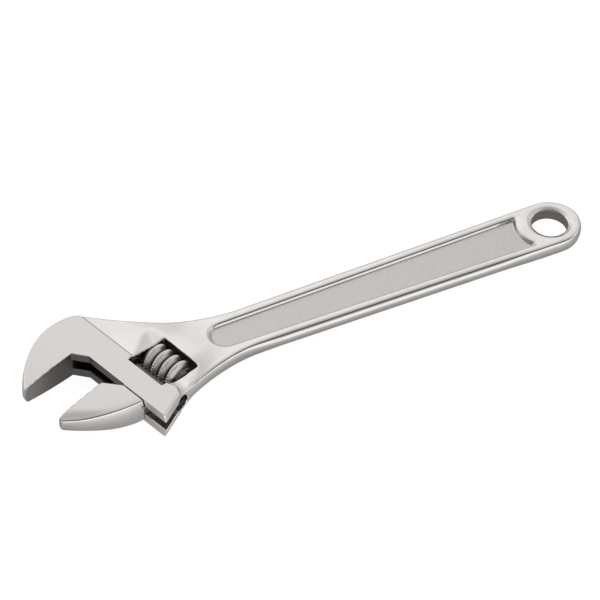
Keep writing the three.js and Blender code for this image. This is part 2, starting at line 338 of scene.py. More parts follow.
# The neck's two sides, far and near, run on to the eye end. The near one is turned over.
handle_end = (TAIL_CENTRE, TAIL_RADIUS)
upper_side = Side(np.concatenate([
    bezier([HEAD_TOP, (-186.2, 20.2), (-164, 9.65 + NECK_LIFT),
            (NECK_END, NECK_HALF_WIDTH + NECK_LIFT)]),
    [handle_end]]))
lower_side = Side(np.concatenate([
    bezier([(-183, 23.4), (-170.8, 16.6), (-158, 9.73 - 1.5 * NECK_LIFT),
            (NECK_END, NECK_HALF_WIDTH - NECK_LIFT)]),
    [handle_end]]))

# The movable jaw's outer side, from its tip to the slideway.
jaw_side = bezier_two([(2.3, -JAW_DEPTH - 0.3), (16.6, -11), (19.1, SHOULDER)])


def gap_field(along, back):
    """The fixed gripping face, the throat's facet and the slide face."""
    facet = np.array([FIXED_FACET, SLIDE_FACE])
    facet /= np.hypot(*facet)
    throat = along * facet[1] - back * facet[0]
    return np.minimum(np.minimum(along, throat), SLIDE_FACE - back)


def neck_half(x, y, to_upper, to_lower):
    """Half thickness of the neck, falling from the head to the handle and to its edges."""
    crown_start = 1.0
    crown_width = 9.5
    far_edge_left = 0.5
    inward = np.minimum(-to_upper, -to_lower)
    across = np.sin(np.clip((inward - crown_start) / crown_width, 0, 1) * math.pi / 2)
    far_rise = 1 - far_edge_left * smoothstep(*FAR_EDGE_FALLS, x)
    near_rise = 1 - smoothstep(*NEAR_EDGE_FALLS, x)
    rise = near_rise + (far_rise - near_rise) * smoothstep(*NEAR_TO_FAR, y)
    edge = rise + (1 - rise) * across
    along = 1 - smoothstep(*NECK_FALLS, x)
    return RIM_HALF + (NECK_HALF - RIM_HALF) * along * edge


def jaw_half(back, root, tip, bow):
    """Half thickness of a jaw from root to tip, and a little past it."""
    past_tip = 1.15
    t = np.clip(-back / JAW_DEPTH, 0, past_tip)
    return root - (root - tip) * t + 4 * bow * t * (1 - t)


def jaw_tip(along, back, level, outward):
    """The end of a jaw, rolled over from mid thickness, at level 0, to the faces, at 1."""
    flat = along * outward[0] + (back + JAW_DEPTH) * outward[1]
    return flat + TIP_ROLL * level ** 2 - TIP_ROLL / 2


def band_back(along):
    """Where the ground face ends towards the handle: it rounds out below the window."""
    from_reach = (along - BAND_REACH_ALONG) / BAND_REACH_WIDTH
    return BAND_EDGE + BAND_REACH * np.exp(-from_reach ** 2)


def rolled_sides(x, y, level):
    """How far inside the plan's outline a forged side lies, with level as in jaw_tip."""
    past_neck = smoothstep(*NECK_TO_HANDLE, x)
    past_handle = smoothstep(*HANDLE_TO_EYE, x)
    handle = smoothstep(*HANDLE_BEGINS, x) - smoothstep(*HANDLE_FADES, x)
    bulge = HEAD_BULGE + (HANDLE_BULGE - HEAD_BULGE) * past_neck - HANDLE_BULGE * past_handle
    bulge = bulge + FAR_BULGE * smoothstep(*NEAR_TO_FAR, y) * handle
    rolled = SIDE_ROLL + HANDLE_ROLL * handle - EYE_ROLL * past_handle
    return rolled * level ** 2 - bulge


def forging_field(x, y, along, back, high):
    """The forging with its fixed jaw ground, before anything is taken out of it."""
    to_upper = upper_side.beyond(x, y)
    to_lower = lower_side.beyond(x, -y)
    neck = neck_half(x, y, to_upper, to_lower)
    head = jaw_half(back, HEAD_HALF, FIXED_TIP_HALF, FIXED_BOW)
    edge = band_back(along)
    half = head + (neck - head) * smoothstep(edge, edge + BAND_STEP, back)
    level = high / half

    ear = half_plane(x, y, head_point(EAR_END, SLIDE_FACE), EAR_FOOT)
    tail = np.hypot(x - TAIL_CENTRE, y) - TAIL_RADIUS
    top = round_max(jaw_back.beyond(x, y), to_upper, HEAD_TOP_ROUND)
    low = np.minimum(ear, to_lower)
    ends = np.where(x > TAIL_CENTRE, tail, np.maximum(top, low))
    rounding = HEAD_ROUNDING + NECK_ROUNDING * smoothstep(*ROUNDING_GROWS, x)
    solid = round_max(high - half, ends + rolled_sides(x, y, level), rounding)
    solid = round_max(solid, jaw_tip(along, back, level, FIXED_TIP_OUTWARD), TIP_EDGE)
    return round_max(solid, gap_field(along, back), EDGE)


def cut_reliefs(solid, along, back, high):
    """The finger reliefs: a scoop at the window's near end and a trough at its far end."""
    behind_band = band_back(along) + RELIEF_START - back
    from_border = ((along - SCOOP_BORDER[0]) * SCOOP_DEEPENS[0]
                   + (back - SCOOP_BORDER[1]) * SCOOP_DEEPENS[1])
    deepest = SCOOP_DEPTH * (1 - np.exp(-SCOOP_CURVE * from_border))
    deepest = deepest * (1 - smoothstep(*SCOOP_FADES, back))
    scoop = NECK_HALF - deepest - high
    scoop = round_max(scoop, np.maximum(along - SCOOP_END, behind_band), 0.5)
    solid = cut_away(solid, scoop, 0.3)

    from_valley = back - TROUGH_LINE
    from_valley = np.where(from_valley > 0, TROUGH_SPREAD * from_valley, from_valley)
    from_middle = high - NECK_HALF + TROUGH_DEPTH - TROUGH_RADIUS
    trough = np.hypot(from_valley, from_middle) - TROUGH_RADIUS
    trough = round_max(trough, np.maximum(TROUGH_START - along, behind_band), 0.6)
    return cut_away(solid, trough, 0.7)


def window_field(along, back):
    """The worm's window through the head."""
    mid_along = (WINDOW["start"] + WINDOW["end"]) / 2
    mid_back = (WINDOW["near"] + WINDOW["far"]) / 2
    leaning = along - mid_along - WINDOW_LEAN * (back - mid_back)
    return round_max(np.abs(leaning) - (WINDOW["end"] - WINDOW["start"]) / 2,
                     np.abs(back - mid_back) - (WINDOW["far"] - WINDOW["near"]) / 2,
                     WINDOW_CORNER)


def cut_slideway(solid, along, back, z):
    """The slot for the jaw's tongue, with the bore for its round rack."""
    slot = np.maximum(np.abs(z) - WEB_HALF - GAP, back - RACK_LINE)
    bore = np.hypot(back - RACK_LINE, z) - RACK_BORE_RADIUS
    return cut_away(solid, np.maximum(np.minimum(slot, bore), SLOT_START - along), EDGE)


def cut_eye(solid, x, y, high):
    """The hanging eye, countersunk on both sides."""
    from_eye = np.hypot(x, y)
    cone = COUNTERSINK_RADIUS - EYE_RADIUS
    cone_lean = COUNTERSINK_DEPTH / math.hypot(cone, COUNTERSINK_DEPTH)
    sink = (from_eye - COUNTERSINK_RADIUS
            + (RIM_HALF - high) * cone / COUNTERSINK_DEPTH) * cone_lean
    return cut_away(solid, np.minimum(from_eye - EYE_RADIUS, sink), 0.15)


def panel_field(x, y):
    """The recessed panel's outline at the rims."""
    y = y - NECK_LIFT * np.clip((TAIL_CENTRE - x) / (TAIL_CENTRE - NECK_END), 0, 1)
    half = PANEL_START_RADIUS + PANEL_TAPER * (x - PANEL_START)
    sides = np.where(x < PANEL_START, np.hypot(x - PANEL_START, y) - PANEL_START_RADIUS,
                     np.abs(y) - half)
    end = PANEL_END_SLOPE * (PANEL_END_RADIUS - np.hypot(x, y))
    return round_max(sides, end, PANEL_CORNER)


def cut_panel(solid, x, y, high):
    """The recessed panel on both sides, with sloping walls."""
    wall = (panel_field(x, y) + (RIM_HALF - high) * PANEL_DRAFT) / math.hypot(1, PANEL_DRAFT)
    panel = round_max(wall, RIM_HALF - PANEL_DEPTH - high, PANEL_FILLET)
    return cut_away(solid, panel, PANEL_EDGE)


def body_field(x, y, z):
    along, back = in_head(x, y)
    high = np.abs(z)
    solid = forging_field(x, y, along, back, high)
    solid = cut_reliefs(solid, along, back, high)
    solid = cut_away(solid, window_field(along, back), 0.3)
    solid = cut_slideway(solid, along, back, z)
    pin = np.maximum(np.hypot(back - WORM_LINE, z) - PIN_RADIUS - GAP, along - PIN_END - GAP)
    solid = cut_away(solid, pin, 0.1)
    solid = cut_eye(solid, x, y, high)
    return cut_panel(solid, x, y, high)


def jaw_blank(along, back, high):
    """The movable jaw itself, down to its shoulder on the slideway."""
    reach = np.interp(np.ravel(back), jaw_side[:, 1], jaw_side[:, 0]).reshape(np.shape(back))
    lean = np.gradient(jaw_side[:, 0], jaw_side[:, 1])
    slope = np.interp(np.ravel(back), jaw_side[:, 1], lean).reshape(np.shape(back))
    outside = (along - reach) / np.sqrt(1 + slope ** 2)

    # The faces fall off towards the outer side, more so near the tip.
    near_tip = smoothstep(-6, -20, back)
    crown_width = 5 + 2 * near_tip
    crown_fall = 0.35 + 0.85 * near_tip
    crown = crown_fall * smoothstep(-crown_width, 0, outside) ** 2
    half = jaw_half(back, MOVING_ROOT_HALF, MOVING_TIP_HALF, MOVING_BOW)
    level = high / half
    swell = MOVING_ROLL * level ** 2 - MOVING_BULGE
    solid = round_max(high - (half - crown), outside + swell, 0.4)
    solid = round_max(solid, jaw_tip(along, back, level, MOVING_TIP_OUTWARD), TIP_EDGE)
    solid = round_max(solid, -along, EDGE)
    facet = np.array([MOVING_FACET, SHOULDER - MOVING_FACET_BACK])
    facet = facet / np.hypot(*facet)
    chamfer = -along * facet[1] + (back - MOVING_FACET_BACK) * facet[0]
    solid = round_max(solid, chamfer, EDGE)
    return round_max(solid, back - SHOULDER, EDGE)


def rack_field(along, back, z):
    """The movable jaw's tongue and the round rack along its edge."""
    rear = half_plane(along, back, (TONGUE_END, SHOULDER), (RACK_END, RACK_LINE))
    web = np.maximum(RACK_START - along, np.abs(z) - WEB_HALF)
    web = np.maximum(np.maximum(web, back - RACK_LINE), rear)
    web = np.maximum(web, SHOULDER - TONGUE_SINK - back)
    from_middle = np.abs(along - (RACK_START + RACK_END) / 2)
    rack = np.hypot(back - RACK_LINE, z) - RACK_RADIUS
    rack = round_max(rack, from_middle - (RACK_END - RACK_START) / 2, RACK_ROUND)
    return np.minimum(web, rack)


def thread_height(turn):
    return 1 - smoothstep(*RACK_CREST, np.abs(turn - np.round(turn)))


def worm_groove(along, back, z):
    """The room that the turning worm needs in the rack, open above and below it."""
    from_worm = back - WORM_LINE
    turned = np.arctan2(z, from_worm) - math.pi / 2
    turn = (along + REST_OPENING - CREST_PHASE) / WORM_PITCH - turned / (2 * math.pi)
    grow = GAP / WORM_PITCH
    widest = np.maximum(thread_height(turn),
                        np.maximum(thread_height(turn - grow), thread_height(turn + grow)))
    # Off the rack's middle the groove opens to a little more than the crest's radius.
    opened = smoothstep(1.2, 2.2, np.abs(z))
    widest = np.maximum(widest, opened) + 0.28 * opened
    grown = WORM_ROOT + GAP + (WORM_RADIUS - WORM_ROOT) * widest
    to_distance = 0.6  # for the slope of the thread's flanks
    return (np.hypot(from_worm, z) - grown) * to_distance


def jaw_field(along, back, z):
    """The movable jaw, with along counted from its own gripping face."""
    blank = jaw_blank(along, back, np.abs(z))
    solid = -round_max(-blank, -rack_field(along, back, z), 0.2)
    return cut_away(solid, worm_groove(along, back, z), 0.15)


# ---- Meshes from fields ----

CORNERS = [(i, j, k) for i in (0, 1) for j in (0, 1) for k in (0, 1)]
EDGES = [(a, b) for a in range(8) for b in range(a + 1, 8)
         if sum(abs(p - q) for p, q in zip(CORNERS[a], CORNERS[b])) == 1]


def net(field, grid_x, grid_y, grid_z):
    """A closed quad mesh over the field's zero surface: one vertex in each crossed cell."""
    values = field(grid_x[:, :, None], grid_y[:, :, None], grid_z[None, None, :])
    inside = values < 0
    cells = tuple(n - 1 for n in values.shape)
    count = np.zeros(cells, np.int8)
    for i, j, k in CORNERS:
        count += inside[i:i + cells[0], j:j + cells[1], k:k + cells[2]]
    ci, cj, ck = np.nonzero((count > 0) & (count < 8))
    number = np.full(cells, -1, np.int64)
    number[ci, cj, ck] = np.arange(len(ci))

    corner_value = []
    corner_place = []
    for i, j, k in CORNERS:
        corner_value.append(values[ci + i, cj + j, ck + k])
        corner_place.append(np.stack([grid_x[ci + i, cj + j], grid_y[ci + i, cj + j],
                                      grid_z[ck + k]], 1))
    total = np.zeros((len(ci), 3))
    hits = np.zeros(len(ci))
    for a, b in EDGES:
        va, vb = corner_value[a], corner_value[b]
        crossed = (va < 0) != (vb < 0)
        t = np.where(crossed, va / np.where(crossed, va - vb, 1), 0)[:, None]
        total += np.where(crossed[:, None],
                          corner_place[a] + t * (corner_place[b] - corner_place[a]), 0)
        hits += crossed
    places = total / hits[:, None]

    quads = []
    for axis in range(3):
        u, v = [(1, 2), (2, 0), (0, 1)][axis]
        shift = [0, 0, 0]
        shift[axis] = 1
        lower = inside[tuple(slice(0, n - s) for n, s in zip(inside.shape, shift))]
        upper = inside[tuple(slice(s, None) for s in shift)]
        index = np.stack(np.nonzero(lower != upper), 1)
        flip = lower[tuple(index.T)]
        loop = []
        for du, dv in ((0, 0), (1, 0), (1, 1), (0, 1)):
            cell = index.copy()
            cell[:, u] -= 1 - du
            cell[:, v] -= 1 - dv
            loop.append(number[tuple(cell.T)])
        quad = np.stack(loop, 1)
        quads.append(np.where(flip[:, None], quad, quad[:, ::-1]))
    return places, np.concatenate(quads)


def gradient(field, places):
    step = 0.02
    result = np.empty_like(places)
    for axis in range(3):
        ahead = places.copy()
        behind = places.copy()
        ahead[:, axis] += step
        behind[:, axis] -= step
        result[:, axis] = (field(*ahead.T) - field(*behind.T)) / (2 * step)
    return result


def settle(field, places, spacing, rounds=3):
    """Moves the vertices onto the zero surface, each round by part of the spacing at most."""
    least_slope = 0.05
    furthest = 0.6 * spacing
    for _ in range(rounds):
        slope = gradient(field, places)
        steep = np.maximum((slope ** 2).sum(1), least_slope)
        move = slope * (field(*places.T) / steep)[:, None]
        length = np.maximum(np.linalg.norm(move, axis=1, keepdims=True), 1e-9)
        places = places - move * np.minimum(1, furthest / length)
    return places


def build_object(name, places, faces, body):
    """A smooth mesh object from places in the row frame, in millimetres."""
    mesh = bpy.data.meshes.new(name)
    faces = np.asarray(faces)
    mesh.vertices.add(len(places))
    mesh.vertices.foreach_set("co", (places * MM).ravel())
    mesh.loops.add(faces.size)
    mesh.loops.foreach_set("vertex_index", faces.ravel())
    mesh.polygons.add(len(faces))
    width = faces.shape[1]
    mesh.polygons.foreach_set("loop_start", np.arange(len(faces)) * width)
    mesh.polygons.foreach_set("loop_total", np.full(len(faces), width))
    mesh.polygons.foreach_set("use_smooth", np.full(len(faces), True))
    mesh.update(calc_edges=True)
    mesh.validate()
    piece = bpy.data.objects.new(name, mesh)
    bpy.context.scene.collection.objects.link(piece)
    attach(piece, body)
    return piece


def to_row(places):
    return places + np.array([EYE[0], EYE[1], MIDDLE])


def head_to_row(places, opening=0.0):
    """From (along, back, z) to the row frame, moved by the opening for the jaw."""
    along = places[:, 0] + opening
    plan = THROAT + along[:, None] * OPEN + places[:, 1:2] * BACK
    return to_row(np.column_stack([plan, places[:, 2]]))


def spread(*stretches):
    """Grid lines over joined stretches, each (end, spacing), from the first number on."""
    start = stretches[0]
    lines = [np.array([start])]
    for end, spacing in stretches[1:]:
        count = max(1, round((end - start) / spacing))
        lines.append(np.linspace(start, end, count + 1)[1:])
        start = end
    return np.concatenate(lines)


def body_grid():
    """Plan grid whose lines follow the head at one end and the handle at the other."""
    bend_end = -148.0
    bend_length = 20.0
    lines = spread(-245.0, (-144.0, GRID), (-20.0, 2 * GRID), (16.0, 0.8 * GRID))
    across = spread(-25.0, (-10.6, GRID), (-6.4, 0.6 * GRID), (6.4, GRID), (10.6, 0.6 * GRID),
                    (52.0, GRID))
    fine = np.linspace(lines[0], lines[-1], 4001)
    head_turn = math.atan2(BACK[1], BACK[0])
    heading = head_turn * (1 - np.clip((fine - bend_end + bend_length) / bend_length, 0, 1))
    step = fine[1] - fine[0]
    spine_x = np.cumsum(np.cos(heading)) * step
    spine_y = np.cumsum(np.sin(heading)) * step
    spine_x += fine[-1] - spine_x[-1]
    spine_y -= spine_y[-1]
    x = np.interp(lines, fine, spine_x)
    y = np.interp(lines, fine, spine_y)
    turn = np.interp(lines, fine, heading)
    widening = (TAIL_RADIUS - NECK_HALF_WIDTH) / (TAIL_CENTRE - NECK_END) / NECK_HALF_WIDTH
    widen = 1 + widening * np.maximum(lines - NECK_END, 0)
    across = widen[:, None] * across[None, :]
    grid_x = x[:, None] - np.sin(turn)[:, None] * across
    grid_y = y[:, None] + np.cos(turn)[:, None] * across
    return grid_x, grid_y


def height_lines(*stretches):
    upper = spread(*stretches)
    return np.concatenate([-upper[:0:-1], upper])


def make_body():
    grid_x, grid_y = body_grid()
    fine = 0.5 * GRID
    floor = RIM_HALF - PANEL_DEPTH
    # Finer about the panel's floor, the rims and the head's faces.
    heights = height_lines(0.0, (floor - 0.2, GRID), (floor + 0.5, fine), (RIM_HALF - 0.5, GRID),
                           (RIM_HALF + 0.3, fine), (HEAD_HALF - 0.6, GRID), (HEAD_HALF + 0.7, fine))
    places, faces = net(body_field, grid_x, grid_y, heights)
    places = settle(body_field, places, GRID)
    piece = build_object("forged_body", to_row(places), faces, "body")
    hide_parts("wrench_body")
    return piece, places


def make_jaw():
    spacing = GRID * 0.75
    along = spread(-1.5, (26.0, spacing))
    back = spread(-26.5, (21.5, spacing))
    grid_along, grid_back = np.meshgrid(along, back, indexing="ij")
    places, faces = net(jaw_field, grid_along, grid_back, height_lines(0.0, (7.0, spacing)))
    places = settle(jaw_field, places, spacing)
    row = head_to_row(places, REST_OPENING)
    piece = build_object("sliding_jaw", row, faces, "sliding_jaw")
    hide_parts("movable_jaw")
    return piece, places


# ---- Turned pieces ----


def revolve(profile, sides, radius_at=None):
    """A closed loop of (along, radius) turned about the worm's line, in head coordinates."""
    profile = np.array(profile, float)
    count = len(profile)
    angle = np.arange(sides) * 2 * math.pi / sides
    along = np.repeat(profile[:, 0][:, None], sides, 1)
    radius = np.repeat(profile[:, 1][:, None], sides, 1)
    if radius_at is not None:
        radius = radius_at(along, angle[None, :], radius)
    places = np.stack([along, WORM_LINE + radius * np.cos(angle), radius * np.sin(angle)], 2)
    row = np.arange(count)[:, None]
    col = np.arange(sides)[None, :]
    after_row = (row + 1) % count
    after_col = (col + 1) % sides
    faces = np.stack([row * sides + col, row * sides + after_col,
                      after_row * sides + after_col, after_row * sides + col], 2)
    return places.reshape(-1, 3), faces.reshape(-1, 4)


def worm_radius(along, angle, radius):
    """The knurled thread's radius, where the profile leaves it open with a negative one."""
    notch_count = 38
    notch_depth = 0.28
    notch_width = 0.11  # in turns from the crest, as the ridge is
    chamfer_reach = 0.8
    chamfer_depth = 0.88
    lead_in = 0.5
    root = WORM_ROOT + 0.2

    turned = angle - math.pi / 2
    turned = np.where(turned < -math.pi, turned + 2 * math.pi, turned)
    turned = np.where(turned > math.pi, turned - 2 * math.pi, turned)
    turn = (along - CREST_PHASE) / WORM_PITCH - turned / (2 * math.pi)
    from_crest = turn - np.round(turn)
    ridge = (1 - smoothstep(0.02, 0.45, np.abs(from_crest))) ** 0.5
    notches = 0.5 + 0.5 * np.cos(notch_count * angle)
    knurl = notch_depth * notches ** 3 * np.exp(-(from_crest / notch_width) ** 2)
    grown = WORM_ROOT + (WORM_RADIUS - WORM_ROOT) * ridge - knurl

    to_end = np.minimum(along - WORM_START, WORM_END - along)
    limit = WORM_RADIUS - chamfer_depth * np.clip(1 - to_end / chamfer_reach, 0, 1) ** 2
    lead = smoothstep(THREAD_START, THREAD_START + lead_in, along)
    limit = root + (limit - root) * lead
    return np.where(radius < 0, np.minimum(grown, limit), radius)


def make_worm():
    step = 0.12
    sides = 360
    hole = PIN_RADIUS + 0.2
    bevel = 0.2
    lip = 0.15
    rows = [(HUB_END - bevel, hole), (COUNTERBORE_END, hole)]
    rows += [(COUNTERBORE_END, COUNTERBORE_RADIUS), (WORM_START + lip, COUNTERBORE_RADIUS)]
    rows += [(WORM_START, COUNTERBORE_RADIUS + lip)]
    rows += [(along, -1.0) for along in np.arange(WORM_START, WORM_END + step / 2, step)]
    rows += [(WORM_END, HUB_RADIUS), (HUB_END - bevel, HUB_RADIUS), (HUB_END, HUB_RADIUS - bevel)]
    rows += [(HUB_END, hole + bevel)]
    places, faces = revolve(rows, sides, worm_radius)
    piece = build_object("knurled_worm", head_to_row(places), faces, "worm")
    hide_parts("worm_knurl")
    return piece


def make_pin():
    bevel = 0.4
    rows = [(PIN_START, PIN_RADIUS - bevel), (PIN_START + bevel, PIN_RADIUS)]
    rows += [(along, PIN_RADIUS) for along in range(0, 41, 2)]
    rows += [(PIN_END - bevel, PIN_RADIUS), (PIN_END, PIN_RADIUS - bevel)]
    sides = 48
    places, faces = revolve(rows, sides)
    # The faces that join the last row to the first give way to two flat ends.
    last = (len(rows) - 1) * sides
    step = np.arange(sides // 2 - 1)
    flat_end = np.stack([step, step + 1, sides - 2 - step, sides - 1 - step], 1)
    faces = np.concatenate([faces[:last], flat_end[:, ::-1], last + flat_end])
    piece = build_object("turned_pin", head_to_row(places), faces, "body")
    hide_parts("worm_pin")
    return piece


def make_spring():
    """Round wire wound on a helix, with its two end turns closed flat."""
    wire = 0.4
    coil = 2.9
    turns = 5
    steps_in_turn = 40
    sides = 12
    start = WINDOW["start"] + GAP + wire
    end = COUNTERBORE_END - GAP - wire
    t = np.linspace(0, 1, steps_in_turn * turns + 1)
    even_part = 0.65  # of the rise, between the flat ends, the rest eased in
    eased = smoothstep(0.06, 0.94, t)
    even = np.clip((t - 0.08) / 0.84, 0, 1)
    rise = eased * (1 - even_part) + even * even_part
    angle = 2 * math.pi * turns * t
    line = np.column_stack([start + (end - start) * rise, WORM_LINE + coil * np.cos(angle),
                            coil * np.sin(angle)])
    tangent = np.gradient(line, axis=0)
    tangent /= np.linalg.norm(tangent, axis=1, keepdims=True)
    outward = np.column_stack([0 * t, np.cos(angle), np.sin(angle)])
    outward -= (outward * tangent).sum(1, keepdims=True) * tangent
    outward /= np.linalg.norm(outward, axis=1, keepdims=True)
    beside = np.cross(tangent, outward)
    round_angle = np.arange(sides) * 2 * math.pi / sides
    ring = (outward[:, None] * np.cos(round_angle)[None, :, None]
            + beside[:, None] * np.sin(round_angle)[None, :, None])
    places = (line[:, None] + wire * ring).reshape(-1, 3)

    first_middle = len(places)
    places = np.vstack([places, line[0], line[-1]])
    last_ring = (len(t) - 1) * sides
    faces = []
    for i in range(0, last_ring, sides):
        for j in range(sides):
            k = (j + 1) % sides
            faces.append((i + j, i + k, i + sides + k, i + sides + j))
    for j in range(sides):
        k = (j + 1) % sides
        faces.append((first_middle, k, j))
        faces.append((first_middle + 1, last_ring + j, last_ring + k))
    mesh = bpy.data.meshes.new("coil_spring")
    mesh.from_pydata((head_to_row(places) * MM).tolist(), [], faces)
    mesh.polygons.foreach_set("use_smooth", [True] * len(mesh.polygons))
    piece = bpy.data.objects.new("coil_spring", mesh)
    bpy.context.scene.collection.objects.link(piece)
    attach(piece, "body")
    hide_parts("worm_spring")
    return piece


# ---- Materials ----


class Nodes:
    """Short hand for building a node tree."""

    def __init__(self, tree):
        self.tree = tree
        tree.nodes.clear()

    def add(self, kind, **settings):
        node = self.tree.nodes.new(kind)
        for key, value in settings.items():
            setattr(node, key, value)
        return node

    def link(self, source, target):
        self.tree.links.new(source, target)

    def feed(self, socket, value):
        """Sets the socket to a number or a colour, or links another node's output to it."""
        if isinstance(value, (int, float)):
            socket.default_value = value
        elif isinstance(value, tuple):
            socket.default_value = (*value, 1)
        else:
            self.link(value, socket)

    def mapping(self, vector, **settings):
        """A mapping node over the vector, with these sockets set."""
        node = self.add("ShaderNodeMapping")
        for key, value in settings.items():
            node.inputs[key].default_value = value
        self.link(vector, node.inputs["Vector"])
        return node.outputs["Vector"]

    def plan(self):
        """Object coordinates in millimetres."""
        coord = self.add("ShaderNodeTexCoord")
        return self.mapping(coord.outputs["Object"], Scale=(1000, 1000, 1000))

    def head_plan(self, plan, stretch):
        """The plan turned to the head's (along, back) and stretched."""
        turned = self.mapping(plan, Rotation=(0, 0, -math.atan2(OPEN[1], OPEN[0])))
        return self.mapping(turned, Scale=stretch)

    def noise(self, vector, scale, detail=3.0, roughness=0.55, distortion=0.0):
        node = self.add("ShaderNodeTexNoise")
        self.link(vector, node.inputs["Vector"])
        node.inputs["Scale"].default_value = scale
        node.inputs["Detail"].default_value = detail
        node.inputs["Roughness"].default_value = roughness
        node.inputs["Distortion"].default_value = distortion
        return node.outputs["Fac"]

    def span(self, value, low, high, from_low=0.0, from_high=1.0, kind="LINEAR"):
        node = self.add("ShaderNodeMapRange", interpolation_type=kind)
        self.link(value, node.inputs["Value"])
        node.inputs["From Min"].default_value = from_low
        node.inputs["From Max"].default_value = from_high
        node.inputs["To Min"].default_value = low
        node.inputs["To Max"].default_value = high
        return node.outputs["Result"]

    def along(self, vector, direction):
        """The vector's part along a direction."""
        node = self.add("ShaderNodeVectorMath", operation="DOT_PRODUCT")
        node.inputs[1].default_value = Vector(direction).normalized()
        self.link(vector, node.inputs[0])
        return node.outputs["Value"]

    def math(self, operation, *values):
        node = self.add("ShaderNodeMath", operation=operation)
        for socket, value in zip(node.inputs, values):
            self.feed(socket, value)
        return node.outputs[0]

    def blend(self, factor, a, b):
        """Mix of two numbers."""
        node = self.add("ShaderNodeMix", data_type="FLOAT")
        for index, value in zip((0, 2, 3), (factor, a, b)):
            self.feed(node.inputs[index], value)
        return node.outputs[0]

    def blend_colour(self, factor, a, b):
        node = self.add("ShaderNodeMix", data_type="RGBA")
        for index, value in zip((0, 6, 7), (factor, a, b)):
            self.feed(node.inputs[index], value)
        return node.outputs[2]

    def mask(self, name):
        return self.add("ShaderNodeAttribute", attribute_name=name).outputs["Fac"]


class Surface(Nodes):
    """A material's nodes, with its Principled shader."""

    def __init__(self, name, metallic=1.0):
        self.material = bpy.data.materials.new(name)
        self.material.use_nodes = True
        super().__init__(self.material.node_tree)
        output = self.add("ShaderNodeOutputMaterial")
        self.shader = self.add("ShaderNodeBsdfPrincipled")
        self.link(self.shader.outputs[0], output.inputs["Surface"])
        self.shader.inputs["Metallic"].default_value = metallic

    def bump(self, height):
        """Bump from a height in millimetres."""
        node = self.add("ShaderNodeBump")
        node.inputs["Strength"].default_value = 1.0
        node.inputs["Distance"].default_value = MM
        self.link(height, node.inputs["Height"])
        self.link(node.outputs["Normal"], self.shader.inputs["Normal"])


def steel_material(name):
    """Satin plated steel whose ground, cast and machined areas follow the mesh's masks. The
    machined areas are darker partly as bare steel and partly as painted shade; the crease behind
    the band and the slot, bore and window walls are painted shade.
    """
    m = Surface(name)
    plan = m.plan()
    across_grain = m.head_plan(plan, (0.12, 3.0, 0.12))
    cloudy = m.noise(plan, 0.09, 2.0)
    fine = m.noise(plan, 2.2, 4.0, 0.6)
    grain = m.noise(across_grain, 1.6, 3.0, 0.6)
    pebble = m.noise(plan, 1.7, 3.0, 0.55, 0.3)
    ground = m.mask("ground")
    cast = m.mask("cast")
    machined_and_shade = m.mask("machined_and_shade")
    recess_shade = m.mask("recess_shade")
    wear = m.mask("wear")
    crease_shade = m.mask("crease_shade")

    plated = m.blend_colour(m.span(cloudy, 0.0, 1.0, 0.35, 0.65), (0.80, 0.772, 0.752),
                            (0.86, 0.83, 0.81))
    ground_colour = m.blend_colour(grain, (0.705, 0.678, 0.665), (0.745, 0.718, 0.704))
    cast_colour = m.blend_colour(m.span(pebble, 0.0, 1.0, 0.3, 0.7), (0.57, 0.555, 0.545),
                                 (0.70, 0.68, 0.665))
    colour = m.blend_colour(ground, plated, ground_colour)
    colour = m.blend_colour(cast, colour, cast_colour)
    colour = m.blend_colour(wear, colour, (0.93, 0.925, 0.92))
    # Painted shade: a dark line in the crease behind the ground band.
    colour = m.blend_colour(crease_shade, colour, (0.30, 0.28, 0.265))
    # Machined faces: darker partly as bare steel, partly as painted shade from the dim gap and
    # holes they face.
    machined_and_shade_colour = m.blend_colour(grain, (0.24, 0.22, 0.208), (0.32, 0.298, 0.285))
    colour = m.blend_colour(machined_and_shade, colour, machined_and_shade_colour)
    # Painted shade: nearly black in the slot, bore and window walls and on the jaw's tongue and
    # rack.
    recess_shade_colour = m.blend_colour(grain, (0.05, 0.042, 0.038), (0.11, 0.096, 0.088))
    colour = m.blend_colour(recess_shade, colour, recess_shade_colour)
    m.link(colour, m.shader.inputs["Base Color"])

    roughness = m.blend(ground, m.span(fine, 0.10, 0.22), m.span(grain, 0.22, 0.28))
    roughness = m.blend(cast, roughness, m.span(pebble, 0.26, 0.38))
    roughness = m.blend(machined_and_shade, roughness, 0.36)
    roughness = m.blend(recess_shade, roughness, 0.5)
    m.link(roughness, m.shader.inputs["Roughness"])

    height = m.math("MULTIPLY", fine, 0.010)
    height = m.blend(ground, height, m.math("MULTIPLY", grain, 0.006))
    height = m.blend(cast, height, m.math("MULTIPLY", pebble, 0.05))
    m.bump(height)
    return m.material


def turned_material(name, bright, dull, rough):
    """Turned steel with fine rings round the worm's line, patches of soil, and painted shade in its
    low places.
    """
    m = Surface(name)
    plan = m.plan()
    across_rings = m.head_plan(plan, (5.0, 0.3, 0.3))
    rings = m.noise(across_rings, 1.4, 3.0, 0.6)
    soil = m.noise(plan, 0.8, 3.0, 0.6)
    low = m.mask("recess_shade")
    colour = m.blend_colour(rings, dull, bright)
    colour = m.blend_colour(m.span(soil, 0.0, 0.3, 0.5, 0.8), colour, (0.34, 0.32, 0.30))
    # Painted shade: darker in the low places, towards the thread's roots.
    colour = m.blend_colour(low, colour, (0.22, 0.205, 0.195))
    m.link(colour, m.shader.inputs["Base Color"])
    m.link(m.span(rings, rough - 0.06, rough + 0.1), m.shader.inputs["Roughness"])
    m.bump(m.math("MULTIPLY", rings, 0.02))
    return m.material


def set_mask(piece, name, values):
    data = piece.data.attributes.new(name, "FLOAT", "POINT").data
    data.foreach_set("value", np.clip(values, 0, 1).astype(np.float32))


